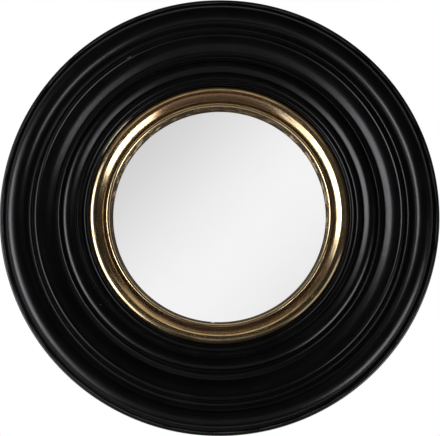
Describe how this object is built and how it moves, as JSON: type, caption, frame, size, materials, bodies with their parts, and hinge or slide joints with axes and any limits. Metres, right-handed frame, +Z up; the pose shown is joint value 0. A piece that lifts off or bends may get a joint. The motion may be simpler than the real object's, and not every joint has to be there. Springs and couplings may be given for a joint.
{
  "type": "round wall mirror",
  "caption": "Round wall mirror with a wide turned black frame, a gilded inner slip, a flat mirror plate and a hinged hanging ring on its recessed back.",
  "frame": {"origin": "the middle of the mirror on the plane of the wall, where the felt bumpers touch it", "axes": "+Z up as the mirror hangs, +Y into the wall, so that the mirror faces -Y, and +X to the right of a viewer who faces the mirror"},
  "size_m": [0.5, 0.0397, 0.5],
  "materials": {
    "black_lacquer": "satin black lacquer on turned wood",
    "gold_leaf": "worn gold leaf over red-brown bole on turned wood",
    "mirror_plate": "back-silvered float glass",
    "felt": "dense black felt",
    "foam": "closed-cell foam strip",
    "hardboard": "smooth brown hardboard",
    "cork": "natural cork",
    "brass_screw": "brassed steel",
    "zinc_screw": "zinc-plated",
    "zinc_sheet": "zinc-plated sheet",
    "zinc_wire": "zinc-plated wire"
  },
  "bodies": {
    "mirror": {"frame_ring": "black_lacquer", "gilt_slip": "gold_leaf", "mirror_glass": "mirror_plate", "front_felt": "felt", "packing_ring": "foam", "backing_board": "hardboard", "edge_spacer_1": "cork", "edge_spacer_2": "cork", "edge_spacer_3": "cork", "edge_spacer_4": "cork", "slip_screws": "brass_screw", "turn_button_screws": "zinc_screw", "hanger_strap": "zinc_sheet", "hanger_screws": "zinc_screw", "wall_bumper_1": "felt", "wall_bumper_2": "felt", "wall_bumper_3": "felt", "wall_bumper_4": "felt"},
    "turn_button_1": {"turn_button_1": "zinc_sheet"},
    "turn_button_2": {"turn_button_2": "zinc_sheet"},
    "turn_button_3": {"turn_button_3": "zinc_sheet"},
    "turn_button_4": {"turn_button_4": "zinc_sheet"},
    "turn_button_5": {"turn_button_5": "zinc_sheet"},
    "turn_button_6": {"turn_button_6": "zinc_sheet"},
    "hanger_ring": {"hanger_ring": "zinc_wire"}
  },
  "joints": [
    {"name": "turn_button_1_turn", "type": "hinge", "parent": "mirror", "child": "turn_button_1", "pos_m": [0.1651, -0.01, 0], "axis": [0, 1, 0], "continuous": true},
    {"name": "turn_button_2_turn", "type": "hinge", "parent": "mirror", "child": "turn_button_2", "pos_m": [0.08255, -0.01, 0.14298], "axis": [0, 1, 0], "continuous": true},
    {"name": "turn_button_3_turn", "type": "hinge", "parent": "mirror", "child": "turn_button_3", "pos_m": [-0.08255, -0.01, 0.14298], "axis": [0, 1, 0], "continuous": true},
    {"name": "turn_button_4_turn", "type": "hinge", "parent": "mirror", "child": "turn_button_4", "pos_m": [-0.1651, -0.01, 0], "axis": [0, 1, 0], "continuous": true},
    {"name": "turn_button_5_turn", "type": "hinge", "parent": "mirror", "child": "turn_button_5", "pos_m": [-0.08255, -0.01, -0.14298], "axis": [0, 1, 0], "continuous": true},
    {"name": "turn_button_6_turn", "type": "hinge", "parent": "mirror", "child": "turn_button_6", "pos_m": [0.08255, -0.01, -0.14298], "axis": [0, 1, 0], "continuous": true},
    {"name": "hanger_ring_swing", "type": "hinge", "parent": "mirror", "child": "hanger_ring", "pos_m": [0, -0.00724, 0.1925], "axis": [1, 0, 0], "range_deg": [0, 174]}
  ]
}
